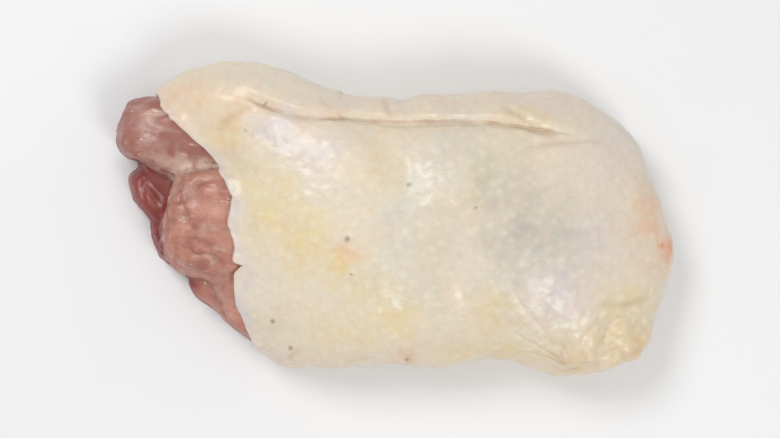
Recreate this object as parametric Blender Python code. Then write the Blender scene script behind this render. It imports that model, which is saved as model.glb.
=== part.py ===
"""A raw chicken thigh with its skin on, lying skin side up.

It is one solid. The skin covers the top, is tucked under along three sides and ends at the left
over the meat, whose muscles show there and underneath. Units are metres and +Z is up. +X runs
along the thigh to its rounded end, and the origin is the centre of its footprint, on the surface
that it rests on.
"""

import math

import bmesh
import bpy
import numpy as np
from mathutils import Matrix

MM = 0.001

# Driving sizes, in millimetres
HEIGHT = 34.0
WIDEST_AT = 11.5
PRESSED_FLAT = 2.4
SKIN = 1.8
UNDER_SKIN = 4.0
SHELL = 9.0
RESTING_SLAB = (250.0, 200.0, 40.0)

# The highest point of the thigh, from which directions are measured
POLE = (12.0, -2.0)

# The outline seen from above, anticlockwise from the rounded right end
OUTLINE = (
    (72.6, -9.0), (69.0, 5.0), (62.5, 20.0), (50.5, 30.3), (34.0, 32.5),
    (16.0, 31.8), (-3.0, 31.6), (-20.0, 33.6), (-33.5, 38.2), (-45.0, 40.0),
    (-56.0, 37.8), (-64.5, 30.5), (-62.5, 5.0), (-56.5, -14.0), (-46.0, -29.0),
    (-30.0, -37.0), (-8.0, -39.8), (12.0, -38.6), (30.0, -37.6), (48.0, -40.6),
    (62.5, -35.5), (70.0, -21.0),
)

# Roundness of the upper and the lower half: 2 is an ellipse, and more is boxier
UPPER_POWER = 2.4
LOWER_POWER = 5.5
# How much lower the dome is at the left and at the right end
LEFT_FALL = 0.30
RIGHT_FALL = 0.18
HALF_LENGTH = 72.0

# How far the skin goes past the outline and under the thigh, by direction in degrees.
# Less than zero is how far short of the outline it ends, where the meat shows.
SKIN_REACH = (
    (0.0, 18.0), (60.0, 16.0), (100.0, 16.0), (130.0, 15.0), (143.0, 11.0),
    (149.0, 6.0), (154.0, 1.0), (158.0, -9.5), (162.5, -19.5), (170.0, -23.0),
    (180.0, -19.5), (190.0, -17.0), (197.0, -12.0), (206.0, -6.5), (216.0, 1.0),
    (228.0, 9.0), (260.0, 13.0), (300.0, 16.0), (335.0, 19.0),
)

# Swellings and hollows of the skin: place, radius along X and Y, height
MOUNDS = (
    (-45.0, 31.0, 13.0, 8.0, 3.2),
    (-20.0, -5.0, 20.0, 22.0, 1.2),
    (36.0, -8.0, 20.0, 20.0, 1.6),
    (2.0, 2.0, 6.0, 24.0, -1.6),
    (-45.0, 18.0, 5.0, 8.0, -1.4),
    (60.0, -33.0, 6.0, 4.5, 1.8),
    (50.0, -36.0, 5.0, 4.5, 1.6),
    (55.0, -28.0, 3.0, 5.0, -1.4),
)

# Relief is full where the skin faces up by at least the first share, and gone where it faces
# down past the second
RELIEF_FULL, RELIEF_GONE = 0.2, -0.3

# Creases of the skin, each with its points, width and depth
TOP_FOLD = ((-40.0, 30.8), (-33.0, 28.5), (-24.0, 25.8), (0.0, 24.6), (20.0, 24.6), (40.0, 22.0))
LOWER_CREASES = (
    ((43.5, -36.5), (30.0, -27.5), (17.0, -19.5)),
    ((44.5, -36.5), (36.0, -26.0), (29.0, -16.5)),
)
FOLD_WIDTH, FOLD_DEPTH = 2.8, 1.9
CREASE_WIDTH, CREASE_DEPTH = 2.0, 0.7

# From here to there along X the meat comes up to the skin near its edge, and past the edge it
# goes down again
RISES_TO_SKIN = (-26.0, -38.0)
FALLS_PAST_EDGE = (-44.0, -58.0)

# The groove between the two large muscles that show at the left
MEAT_GROOVE = ((-72.0, 15.0), (-62.0, 9.0), (-54.0, 12.5), (-42.0, 14.5))
GROOVE_WIDTH, GROOVE_DEPTH = 4.5, 3.5

# Muscles that show beyond the skin: centre, half sizes, turn about Z and tilt about Y in
# degrees, and how much thicker they are at their +X end
END_MUSCLES = (
    ((-39.5, -2.6, 10.0), (22.0, 16.5, 14.2), -10.0, 7.0, 0.10),
    ((-50.0, 18.7, 7.6), (23.5, 11.5, 12.8), -14.0, 10.0, 0.12),
    ((-53.5, -3.0, 4.0), (11.0, 12.5, 8.4), 14.0, 8.0, 0.10),
    ((-40.0, -21.0, 6.2), (15.0, 9.0, 9.6), -32.0, 8.0, 0.10),
    ((-36.0, -26.0, 4.8), (17.0, 7.5, 8.4), -30.0, 4.0, 0.10),
    # The torn strand at the foot of the gap between the two large ones
    ((-61.4, 5.6, 4.6), (11.5, 6.5, 9.0), -50.0, 4.0, 0.0),
)
UNDER_MUSCLES = (
    ((6.0, 14.0, 7.6), (50.0, 12.0, 10.4), 2.0, 0.0, 0.10),
    ((10.0, -17.0, 7.6), (48.0, 13.0, 10.4), -3.0, 0.0, 0.12),
    ((-6.0, -1.5, 7.6), (50.0, 8.0, 9.0), 4.0, 0.0, 0.0),
)
# Roundness of a muscle: 2 is an ellipsoid, and more is boxier
MUSCLE_POWER = 2.8

# Divisions of the meshes
SKIN_GRID = 54
CORE_SEGMENTS, CORE_RINGS = 56, 20
MUSCLE_SEGMENTS, MUSCLE_RINGS = 24, 16
PROFILE_STEPS = 160
PROFILE_END = 178.0
UNROLLED_STEP = 0.5
DIRECTIONS = 720
SHARP_ANGLE = 40.0

# Base colour and roughness of each finish
FINISHES = {
    "chicken_meat": ((0.60, 0.26, 0.20, 1.0), 0.30),
    "chicken_skin": ((0.80, 0.68, 0.50, 1.0), 0.35),
}


def clear_scene():
    for old in list(bpy.data.objects):
        bpy.data.objects.remove(old, do_unlink=True)


def round_the_circle(angles, values, at):
    """A smooth closed curve through values at angles in degrees, read at the angles of at."""
    order = np.argsort(angles)
    angles, values = np.asarray(angles, float)[order], np.asarray(values, float)[order]
    a = np.concatenate([angles[-2:] - 360.0, angles, angles[:2] + 360.0])
    v = np.concatenate([values[-2:], values, values[:2]])
    slope = np.gradient(v, a)
    at = np.mod(at, 360.0)
    i = np.clip(np.searchsorted(a, at, side="right") - 1, 0, len(a) - 2)
    span = a[i + 1] - a[i]
    t = (at - a[i]) / span
    rise = v[i + 1] - v[i]
    start, end = slope[i] * span, slope[i + 1] * span
    return v[i] + t * (start + t * (3 * rise - 2 * start - end + t * (start + end - 2 * rise)))


def outline_radius(direction):
    """How far the outline is from the pole, for directions in degrees."""
    from_pole = np.array(OUTLINE) - POLE
    angles = np.degrees(np.arctan2(from_pole[:, 1], from_pole[:, 0])) % 360.0
    return round_the_circle(angles, np.hypot(*from_pole.T), direction)


def hull(direction, turn, inset=0.0):
    """The thigh's smooth outer form before its underside is pressed flat. turn goes from 0 at
    the top, by 90 degrees at the outline, to 180 underneath. inset is how deep the point lies."""
    a, d = np.radians(turn), np.radians(direction)
    out = (outline_radius(direction) - inset) * np.sin(a)
    x = POLE[0] + out * np.cos(d)
    y = POLE[1] + out * np.sin(d)
    along = (x - POLE[0]) / HALF_LENGTH
    fall = np.where(along < 0, LEFT_FALL, RIGHT_FALL) * along**2
    cosine = np.cos(a)
    rise = (HEIGHT - WIDEST_AT) * (1 - fall) - inset
    drop = WIDEST_AT + PRESSED_FLAT - inset
    upper = WIDEST_AT + rise * np.abs(cosine) ** (2 / UPPER_POWER)
    lower = WIDEST_AT - drop * np.abs(cosine) ** (2 / LOWER_POWER)
    return np.stack([x, y, np.where(cosine > 0, upper, lower)], axis=-1)


def hull_normal(direction, turn):
    """The outward unit normal of the hull, away from its very top."""
    step = 0.25
    down = hull(direction, turn + step) - hull(direction, turn - step)
    round_it = hull(direction + step, turn) - hull(direction - step, turn)
    normal = np.cross(down, round_it)
    return normal / np.linalg.norm(normal, axis=-1, keepdims=True)


def skin_edge_turn(direction):
    """Where the skin ends, as a turn from the top, by direction."""
    reach = round_the_circle(*zip(*SKIN_REACH, strict=True), direction)
    share = 1 - np.abs(reach) / outline_radius(direction)
    short = np.degrees(np.arcsin(np.clip(share, 0, 1)))
    return np.where(reach < 0, short, 180 - short)


def unrolled():
    """For each direction, the turn at evenly spaced lengths along the surface from the top, and
    the length at which the skin ends."""
    directions = np.arange(DIRECTIONS) * 360 / DIRECTIONS
    turns = np.linspace(0, PROFILE_END, PROFILE_STEPS)
    points = hull(directions[:, None], turns[None, :])
    steps = np.linalg.norm(np.diff(points, axis=1), axis=2)
    lengths = np.concatenate([np.zeros((DIRECTIONS, 1)), np.cumsum(steps, axis=1)], axis=1)
    even = np.arange(0, lengths.max(), UNROLLED_STEP)
    turn_at = np.array([np.interp(even, row, turns) for row in lengths])
    edge = skin_edge_turn(directions)
    edge_length = np.array([np.interp(e, turns, row) for e, row in zip(edge, lengths, strict=True)])
    return turn_at, edge_length


def skin_places(count):
    """Direction and turn for a square grid of points that covers the skin evenly to its edge."""
    turn_at, edge_length = unrolled()
    angles = np.radians(np.arange(DIRECTIONS + 1) * 360 / DIRECTIONS)
    edge_length = np.append(edge_length, edge_length[0])
    edge = np.stack([edge_length * np.cos(angles), edge_length * np.sin(angles)], axis=1)
    walked = np.append(0, np.cumsum(np.linalg.norm(np.diff(edge, axis=0), axis=1)))
    u, v = np.meshgrid(*[np.linspace(-1, 1, count)] * 2, indexing="ij")
    across, up = u * np.sqrt(1 - v**2 / 2), v * np.sqrt(1 - u**2 / 2)
    share = np.hypot(across, up)
    round_edge = np.arctan2(up, across) % (2 * math.pi) / (2 * math.pi) * walked[-1]
    x = share * np.interp(round_edge, walked, edge[:, 0])
    y = share * np.interp(round_edge, walked, edge[:, 1])
    direction = np.degrees(np.arctan2(y, x)) % 360
    row = direction / 360 * DIRECTIONS
    step = np.hypot(x, y) / UNROLLED_STEP
    i, j = row.astype(int) % DIRECTIONS, np.minimum(step.astype(int), turn_at.shape[1] - 2)
    f, g = row % 1, step - j
    near = turn_at[i, j] * (1 - g) + turn_at[i, j + 1] * g
    k = (i + 1) % DIRECTIONS
    far = turn_at[k, j] * (1 - g) + turn_at[k, j + 1] * g
    return direction, near * (1 - f) + far * f


def distance_to_line(x, y, line):
    """How far points are from a line drawn through places seen from above."""
    nearest = np.full(x.shape, np.inf)
    for (ax, ay), (bx, by) in zip(line[:-1], line[1:], strict=True):
        dx, dy = bx - ax, by - ay
        t = np.clip(((x - ax) * dx + (y - ay) * dy) / (dx * dx + dy * dy), 0, 1)
        nearest = np.minimum(nearest, np.hypot(x - ax - t * dx, y - ay - t * dy))
    return nearest


def groove(x, y, line, width, depth):
    return depth * np.exp(-((distance_to_line(x, y, line) / width) ** 2))


def share_of_way(value, start, end):
    """0 up to the start, 1 from the end on, and in proportion between them."""
    return np.clip((value - start) / (end - start), 0, 1)


def relief(points, facing_up):
    """How far the skin stands proud of the smooth form, from its mounds, folds and creases."""
    x, y = points[..., 0], points[..., 1]
    proud = np.zeros(x.shape)
    for at_x, at_y, wide, deep, height in MOUNDS:
        proud += height * np.exp(-(((x - at_x) / wide) ** 2) - ((y - at_y) / deep) ** 2)
    proud -= groove(x, y, TOP_FOLD, FOLD_WIDTH, FOLD_DEPTH)
    for line in LOWER_CREASES:
        proud -= groove(x, y, line, CREASE_WIDTH, CREASE_DEPTH)
    return proud * share_of_way(facing_up, RELIEF_GONE, RELIEF_FULL)


def finish(name):
    """The material of this name, made when it is first asked for."""
    material = bpy.data.materials.get(name)
    if material is None:
        colour, roughness = FINISHES[name]
        material = bpy.data.materials.new(name)
        material.use_nodes = True
        shader = material.node_tree.nodes["Principled BSDF"]
        shader.inputs["Base Color"].default_value = colour
        shader.inputs["Roughness"].default_value = roughness
    return material


def mesh_object(name, points, faces, finish_name):
    """A closed mesh of points in millimetres, with its faces turned outwards."""
    mesh = bpy.data.meshes.new(name)
    mesh.from_pydata((np.asarray(points).reshape(-1, 3) * MM).tolist(), [], faces)
    form = bmesh.new()
    form.from_mesh(mesh)
    bmesh.ops.recalc_face_normals(form, faces=form.faces)
    form.to_mesh(mesh)
    form.free()
    mesh.materials.append(finish(finish_name))
    made = bpy.data.objects.new(name, mesh)
    bpy.context.scene.collection.objects.link(made)
    return made


def grid_faces(count, first, flipped):
    faces = []
    for i in range(count - 1):
        for j in range(count - 1):
            a = first + i * count + j
            quad = (a, a + count, a + count + 1, a + 1)
            faces.append(quad[::-1] if flipped else quad)
    return faces


def rim_of_grid(count):
    """The indices round the edge of a square grid, in order."""
    last = count - 1
    bottom = [(i, 0) for i in range(last)]
    right = [(last, j) for j in range(last)]
    top = [(i, last) for i in range(last, 0, -1)]
    left = [(0, j) for j in range(last, 0, -1)]
    return [i * count + j for i, j in bottom + right + top + left]


def make_skin():
    """The skin with the flesh just under it, as a thick shell that the core fills."""
    direction, turn = skin_places(SKIN_GRID)
    outer = hull(direction, turn)
    normal = hull_normal(direction, turn)
    outer = outer + normal * relief(outer, normal[..., 2])[..., None]
    inner = hull(direction, turn, SHELL)
    points = np.concatenate([outer.reshape(-1, 3), inner.reshape(-1, 3)])
    first_inner = SKIN_GRID**2
    faces = grid_faces(SKIN_GRID, 0, False) + grid_faces(SKIN_GRID, first_inner, True)
    rim = rim_of_grid(SKIN_GRID)
    for a, b in zip(rim, rim[1:] + rim[:1], strict=True):
        faces.append((b, a, first_inner + a, first_inner + b))
    return mesh_object("skin_shell", points, faces, "chicken_skin")


def make_core():
    """The meat under the skin, which lies deeper where muscles show on it."""
    direction = np.arange(CORE_SEGMENTS) * 360 / CORE_SEGMENTS
    turn = np.linspace(0, 180, CORE_RINGS + 1)[1:-1]
    d, t = np.meshgrid(direction, turn)
    surface = hull(d, t)
    x, y = surface[..., 0], surface[..., 1]
    raised = share_of_way(x, *RISES_TO_SKIN) - share_of_way(x, *FALLS_PAST_EDGE)
    inset = UNDER_SKIN + (SKIN - UNDER_SKIN) * raised
    inset = np.where(t > 90, UNDER_SKIN, inset)
    inset += groove(x, y, MEAT_GROOVE, GROOVE_WIDTH, GROOVE_DEPTH)
    points = hull(d, t, inset).reshape(-1, 3).tolist()
    points += hull(np.zeros(2), np.array([0.0, 180.0]), np.full(2, UNDER_SKIN)).tolist()
    top, bottom = len(points) - 2, len(points) - 1
    rings = len(turn)
    faces = []
    for s in range(CORE_SEGMENTS):
        n = (s + 1) % CORE_SEGMENTS
        faces.append((top, s, n))
        for r in range(rings - 1):
            a, b = r * CORE_SEGMENTS, (r + 1) * CORE_SEGMENTS
            faces.append((a + s, b + s, b + n, a + n))
        last = (rings - 1) * CORE_SEGMENTS
        faces.append((last + s, bottom, last + n))
    return mesh_object("chicken_thigh", points, faces, "chicken_meat")


def make_muscle(centre, half_sizes, turned, tilted, thicker):
    """One muscle's belly, whose ends are at plus and minus X before it is turned."""
    form = bmesh.new()
    bmesh.ops.create_uvsphere(form, u_segments=MUSCLE_SEGMENTS, v_segments=MUSCLE_RINGS, radius=1)
    bmesh.ops.rotate(form, matrix=Matrix.Rotation(math.pi / 2, 3, "Y"), verts=form.verts)
    for vert in form.verts:
        co = vert.co
        co /= sum(abs(c) ** MUSCLE_POWER for c in co) ** (1 / MUSCLE_POWER)
        wider = 1 + thicker * co.x
        vert.co = (co.x, co.y * wider, co.z * wider)
    placed = (
        Matrix.Translation(centre)
        @ Matrix.Rotation(math.radians(turned), 4, "Z")
        @ Matrix.Rotation(math.radians(tilted), 4, "Y")
        @ Matrix.Diagonal((*half_sizes, 1))
    )
    bmesh.ops.transform(form, matrix=placed, verts=form.verts)
    points = [v.co[:] for v in form.verts]
    faces = [[v.index for v in f.verts] for f in form.faces]
    form.free()
    return mesh_object("muscle", points, faces, "chicken_meat")


def make_resting_surface():
    """A slab whose top is the surface that flattens the thigh's underside."""
    form = bmesh.new()
    bmesh.ops.create_cube(form, size=1)
    down = Matrix.Translation((0, 0, -RESTING_SLAB[2] / 2))
    placed = down @ Matrix.Diagonal((*RESTING_SLAB, 1))
    bmesh.ops.transform(form, matrix=placed, verts=form.verts)
    points = [v.co[:] for v in form.verts]
    faces = [[v.index for v in f.verts] for f in form.faces]
    form.free()
    return mesh_object("resting_surface", points, faces, "chicken_meat")


def apply_boolean(target, operation, others):
    """Joins other solids to the target, or cuts them from it, and removes them."""
    together = bpy.data.collections.new(operation.lower())
    for other in others:
        together.objects.link(other)
    modifier = target.modifiers.new(operation.lower(), "BOOLEAN")
    modifier.operation = operation
    modifier.operand_type = "COLLECTION"
    modifier.collection = together
    modifier.solver = "EXACT"
    modifier.material_mode = "TRANSFER"
    graph = bpy.context.evaluated_depsgraph_get()
    joined = bpy.data.meshes.new_from_object(target.evaluated_get(graph))
    target.modifiers.clear()
    target.data = joined
    for other in others:
        bpy.data.objects.remove(other, do_unlink=True)
    bpy.data.collections.remove(together)


def centre_on_origin(thigh):
    """Moves the mesh so that its footprint's centre is the origin."""
    corners = np.array([corner[:] for corner in thigh.bound_box])
    middle = (corners.min(axis=0) + corners.max(axis=0)) / 2
    thigh.data.transform(Matrix.Translation((-middle[0], -middle[1], 0)))


def main():
    clear_scene()
    thigh = make_core()
    muscles = [make_muscle(*muscle) for muscle in END_MUSCLES + UNDER_MUSCLES]
    apply_boolean(thigh, "UNION", [make_skin(), *muscles])
    apply_boolean(thigh, "DIFFERENCE", [make_resting_surface()])
    centre_on_origin(thigh)
    thigh.data.shade_smooth()
    thigh.data.set_sharp_from_angle(angle=math.radians(SHARP_ANGLE))


main()
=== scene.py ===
"""A raw chicken thigh, lying skin side up on a pale floor.

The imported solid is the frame. Two pieces stand for it here: the skin, a sheet with an edge of its
own that is folded, wrinkled and pimpled, and the meat, muscles joined into one body. Sizes are in
millimetres up to the point where a mesh is made, and the meshes are in metres.
"""

import itertools
import math

import bmesh
import bpy
import numpy as np
from mathutils import Matrix, Vector
from mathutils.bvhtree import BVHTree

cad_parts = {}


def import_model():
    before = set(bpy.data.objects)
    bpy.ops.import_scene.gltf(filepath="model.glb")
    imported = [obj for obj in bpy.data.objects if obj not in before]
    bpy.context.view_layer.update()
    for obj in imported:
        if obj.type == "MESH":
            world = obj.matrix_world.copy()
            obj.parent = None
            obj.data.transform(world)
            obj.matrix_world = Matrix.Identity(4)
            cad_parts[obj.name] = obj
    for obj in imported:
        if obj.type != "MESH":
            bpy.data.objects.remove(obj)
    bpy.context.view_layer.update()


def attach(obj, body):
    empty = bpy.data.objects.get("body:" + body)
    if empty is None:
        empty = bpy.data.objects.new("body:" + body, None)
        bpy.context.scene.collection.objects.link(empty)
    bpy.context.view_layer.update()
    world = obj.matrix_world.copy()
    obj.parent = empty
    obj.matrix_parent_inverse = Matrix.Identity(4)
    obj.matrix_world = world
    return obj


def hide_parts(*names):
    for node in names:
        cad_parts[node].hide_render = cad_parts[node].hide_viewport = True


MM = 0.001

# The thigh's form, as its solid has it
HEIGHT = 34.0
WIDEST_AT = 11.5
PRESSED_FLAT = 2.4
POLE = (12, -2)
OUTLINE = (
    (72.6, -9), (69, 5), (62.5, 20), (50.5, 30.3), (34, 32.5), (16, 31.8), (-3, 31.6), (-20, 33.6),
    (-33.5, 38.2), (-45, 40), (-56, 37.8), (-64.5, 30.5), (-62.5, 5), (-56.5, -14), (-46, -29),
    (-30, -37), (-8, -39.8), (12, -38.6), (30, -37.6), (48, -40.6), (62.5, -35.5), (70, -21),
)
UPPER_POWER = 2.4
LOWER_POWER = 5.5
LEFT_FALL = 0.30
RIGHT_FALL = 0.18
HALF_LENGTH = 72.0
FLOOR_SOFTNESS = 0.5

# How far the skin goes under the thigh, by direction in degrees. Less than zero: how far short
# of the outline it ends.
SKIN_REACH = (
    (0, 18), (60, 16), (100, 16), (130, 15), (143, 11), (149, 6), (154, 1), (158, -9.5), (162.5, -19.5),
    (170, -23), (180, -19.5), (190, -17), (197, -12), (206, -6.5), (216, 1), (228, 9), (260, 13),
    (300, 16), (335, 19),
)

# The waves of the skin's edge, each height, size and seed, on a ring of this radius, and its nick
EDGE_WAVES = ((1.5, 11, 11), (0.4, 4.5, 12), (0.15, 1.8, 13))
EDGE_RING = 60.0
NICK_AT, NICK_WIDTH, NICK_DEPTH = 192.0, 1.1, 2.6

# The direction in degrees in which the meat shows
LEFT = 182.0

# Swellings and hollows of the skin: place, radius along X and Y, height
MOUNDS = (
    (-45, 31, 13, 8, 3.2),
    (-20, -5, 20, 22, 1.2),
    (36, -8, 20, 20, 1.6),
    (2, 2, 6, 24, -1.6),
    (-45, 18, 5, 8, -1.4),
    (60, -33, 6, 4.5, 1.8),
    (50, -36, 5, 4.5, 1.6),
    (55, -28, 3, 5, -1.4),
)

# The fold along the far edge, and the crease that it makes
FOLD_LINE = (
    (-41, 31), (-38, 30.3), (-33, 28.5), (-24, 25.8), (-12, 25.3), (0, 24.5), (13, 24.8), (29, 23.8),
    (39, 22.1), (47, 21.6),
)
FOLD_CREASE, FOLD_CREASE_WIDTH = 0.9, 0.8
FOLD_SWELL = 1.1

# Finer creases of the skin: points seen from above, width and depth
CREASES = (
    (((27, 28.4), (32, 25.6), (37, 21.8), (42, 20.4)), 0.9, 0.5),
    (((33, 17.6), (43, 19), (54, 19.6)), 0.9, 0.4),
    (((-2.6, 31.5), (-1.8, 28), (-0.2, 25)), 0.9, 0.4),
    (((-20, 31), (-17.5, 28.6), (-15.5, 26)), 0.9, 0.25),
    (((3.2, -41), (3.4, -37), (2.2, -34)), 0.9, 0.28),
    (((-27.5, -40), (-27, -36.2), (-23.5, -34.2)), 0.9, 0.45),
    (((-14, -40.5), (-11, -37), (-5, -36)), 0.9, 0.3),
    (((23, -40), (24.5, -36.5), (29, -34.5)), 0.9, 0.3),
    (((-46, 21), (-42.5, 25), (-36, 28)), 1.6, 0.45),
    (((66, -20.5), (59.5, -22.6), (52, -22)), 1, 0.5),
)

# Where the skin is drawn to one place in a fan of wrinkles: that place, the fan's directions in
# degrees and how they fade at its two sides, how far it reaches, and the size of its wrinkles
DRAWN_TO = (47, -39)
DRAWN_FROM, DRAWN_UNTIL = 100.0, 172.0
DRAWN_FADES = (14, 16)
DRAWN_FURTHEST, DRAWN_SPREAD = 139.0, 20.0
DRAWN_LENGTH = 40.0
DRAWN_DEPTH = 0.50
DRAWN_ACROSS, DRAWN_ALONG = 5.2, 16.0

# Muscles: centre, half sizes, turn about Z and tilt about Y in degrees, extra thickness at +X
END_MUSCLES = (
    ((-39.5, -2.6, 10), (22, 16.5, 14.2), -10, 7, 0.1),
    ((-50, 18.7, 7.6), (23.5, 11.5, 12.8), -14, 10, 0.12),
    ((-53.5, -3, 4), (11, 12.5, 8.4), 14, 8, 0.1),
    ((-40, -21, 6.2), (15, 9, 9.6), -32, 8, 0.1),
    ((-36, -26, 4.8), (17, 7.5, 8.4), -30, 4, 0.1),
    ((-61.4, 5.6, 4.6), (11.5, 6.5, 9), -50, 4, 0),
)
UNDER_MUSCLES = (
    ((6, 14, 7.6), (50, 12, 10.4), 2, 0, 0.1),
    ((10, -17, 7.6), (48, 13, 10.4), -3, 0, 0.12),
    ((-6, -1.5, 7.6), (50, 8, 9), 4, 0, 0),
)
# The places of four of them in the first list
MIDDLE_MUSCLE, UPPER_MUSCLE, LOW_MUSCLE, TORN_STRAND = 0, 1, 2, 5

# How square the muscles are, where 2 makes an ellipsoid, and their lumps
MUSCLE_POWER = 2.8
SHOWN_MUSCLE_POWER = 3.4
MUSCLE_LUMPS = ((1.5, 13, 45), (0.8, 6.5, 46))

# The groove between the two large muscles
MEAT_GROOVE = ((-72, 15), (-62, 9), (-54, 12.5), (-42, 14.5))
GROOVE_WIDTH, GROOVE_DEPTH = 4.5, 3.5

# How far outside the core all points count as being, and the width of the seams between muscles
OUTSIDE_CORE = 0.9
SEAM_WIDTH = 1.1

# How far the meat's flat underside is above the floor, so that the skin tucked under it covers it
MEAT_ABOVE_FLOOR = 0.22

# The meat's grain in relief: height, how much it is drawn out along the grain, size and seed
GRAIN = ((0.6, 0.22, 6, 41), (0.3, 0.14, 3, 44), (0.14, 0.1, 1.5, 42))

# The skin as a sheet: its thickness, how deep the meat lies under its outer face, the cells
# along one side of its inner grid and the outer ones to each, the rows round its edge, the
# strip at its left that lies on the meat, the cells in which a change is softened, and how it
# sags, as height, size and seed
SKIN_THICKNESS = 1.7
MEAT_BELOW_SKIN = 2.3
COARSE_CELLS = 57
FINE_PER_COARSE = 5
RIM_ROWS = 6
DRAPE_WIDTH = 15.0
SOFT_CELL = 0.5
SAG = ((0.6, 19, 1), (0.34, 9, 2), (0.15, 4.2, 3), (0.08, 2, 4))

# Feather follicles
FOLLICLE_SPACING = 3.3
FOLLICLE_ROWS_TURNED = 28.0
FOLLICLE_RADIUS = 0.85
FOLLICLE_HEIGHT = 0.28
FOLLICLE_BEND, FOLLICLE_SCATTER = 3.5, 0.65

# Dark spots in the skin: place and radius
SPOTS = (
    (3.8, 8.2, 0.75), (-11.9, -5.5, 0.9), (-31.3, -26.8, 0.8), (-26.8, -33.8, 0.8), (3.2, -36.9, 0.55),
    (-32.8, 28.8, 0.6), (-10.9, -14.4, 0.5), (-42.2, -3.5, 0.45), (20.5, 2.5, 0.35), (-38, 22, 0.35),
)

# Fields of colour in the skin: place, radius along X and Y, and strength
YELLOW_FAT = (
    (-36, 9, 7, 8, 0.6), (-29.5, 0, 8, 9, 0.8), (-22, -6, 8, 8, 0.8), (-15, -11, 6, 6, 1),
    (-42.5, 22, 6, 8, 0.8), (-4, -20, 9, 7, 0.5), (1.5, -24, 7.5, 6, 1), (-12, -30, 12, 6, 0.45),
    (25, -24, 8, 6, 0.6), (17.5, -35, 6.5, 5, 0.7), (29, -35, 9, 5, 0.8), (60, -23, 5, 7, 0.7),
    (62, -33, 6, 5, 0.8), (19, 6, 5, 7, 0.45), (35, 25, 8, 3, 0.5), (-3, 14, 6, 9, 0.35),
)
GREEN_MEAT = (
    (24, 11, 7, 8, 0.8), (10, -7, 5, 9, 0.5), (-6, -17, 7, 4, 0.4), (-33, -28, 6, 4, 0.4),
    (32, 1, 9, 8, 0.4),
)
GREY_MEAT = (
    (35, -5, 13, 11, 1), (27, 5, 11, 10, 0.7), (33, -14, 12, 9, 0.7), (45, -10, 11, 12, 0.5),
    (16, -4, 8, 12, 0.3),
)
LAVENDER = (
    (-29.5, 22, 6, 4.5, 1), (-20, 16, 7, 6, 0.6), (42, -19, 7, 6, 0.8), (50, -6, 7, 7, 0.5),
    (57, 17, 9, 9, 0.35), (-38.5, -17, 3, 7, 0.5), (43, 30, 12, 5, 0.2), (-14, 30, 10, 4, 0.2),
)
PEACH = (
    (-53, 31, 9, 8, 0.9), (66, 2, 5, 9, 0.7), (-24, -38, 12, 3, 0.5), (48, -39, 12, 4, 0.7),
    (-42, 27, 5, 6, 0.8), (16, 31, 22, 3, 0.35),
)
ORANGE = (
    (69.8, -9, 3.6, 4.6, 1), (66.5, -1, 4, 6, 0.45), (-12.5, -8.5, 4, 4, 0.35),
    (3.3, -36.5, 3, 3.5, 0.6), (63, -34, 4, 3, 0.4),
)

# The paler band across the skin: its line, its width, and the values of Y between which it fades
PALE_BAND = (
    (17, 22), (11, 15), (6, 8), (0.5, -2), (1, -12), (6.5, -20), (9.7, -28), (9.5, -39),
)
PALE_WIDTH = 5.0
PALE_FADES = (-34, -18)

# The lumps of fat under the skin, as the fields of colour are given
FAT_LUMPS = ((57, -32, 10, 8, 1), (47, -37, 7, 5, 0.8), (63, -24, 5, 7, 0.5))

# Where the meat is torn and red, where a thin pale membrane lies on it, and where painted shade darkens it
GASH = ((-68, 13), (-65.5, 10), (-61.5, 5.6), (-57, 2.4))
GASH_WIDTH, GASH_DEPTH = 2.2, 1.3
DARK_END = ((-58.5, -8), (-56, -12.5), (-53.5, -18))
MEMBRANE_WIDTH = 1.6
MEMBRANE = ((-58.5, 6), (-57.5, 10.5), (-53, 13), (-46, 14))
PAINTED_MEAT_SHADE = ((-46.5, -20, 9, 5.5, 0.42), (-39, -30, 7, 5, 0.3))

# How far apart the meat's points are, and how often they are smoothed
MEAT_VOXEL = 0.70
MEAT_ROUNDING = 14

# How moist each surface is: roughness from and to, the share of light that goes in, how far its
# red, green and blue go, to what depth, and how strong the wet coat is
SKIN_GLOSS = ((0.33, 0.50), 0.30, (1.0, 0.55, 0.35), 1.5, 0.24)
MEAT_GLOSS = ((0.30, 0.50), 0.35, (1.0, 0.32, 0.24), 2.0, 0.18)

# The studio: each light's name, place, size and power, the light all round, and the camera
LIGHTS = (("key", (-270, 300, 600), 300, 1.9), ("fill", (250, -330, 540), 260, 1.35))
LIT_PLACE = (0, 0, 15)
LIGHT_ALL_ROUND = 0.53
FLOOR_REACH = 900
CAMERA_PLACE = (-1.0, 0.0, 525)
CAMERA_LENS, CAMERA_SENSOR = 90, 36

# Large odd numbers that scatter the values of the noise
SCATTER = (374761393, 668265263, 1442695041, 1274126177)


def srgb(red, green, blue):
    """A colour given as a screen shows it, from 0 to 255, as linear values."""
    shown = np.array([red, green, blue]) / 255
    linear = np.where(shown <= 0.04045, shown / 12.92, ((shown + 0.055) / 1.055) ** 2.4)
    return (*linear.tolist(), 1.0)


# Smooth noise and simple fields


def lattice(cells, seed):
    """A repeatable number from 0 to 1 for each whole-numbered cell."""
    by_x, by_y, by_z, by_seed = SCATTER
    n = cells[..., 0] * by_x + cells[..., 1] * by_y + cells[..., 2] * by_z + seed * by_seed
    n = (n ^ (n >> 13)) * by_seed
    n = n ^ (n >> 16)
    return (n & 0xFFFFFF) / 0xFFFFFF


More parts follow.
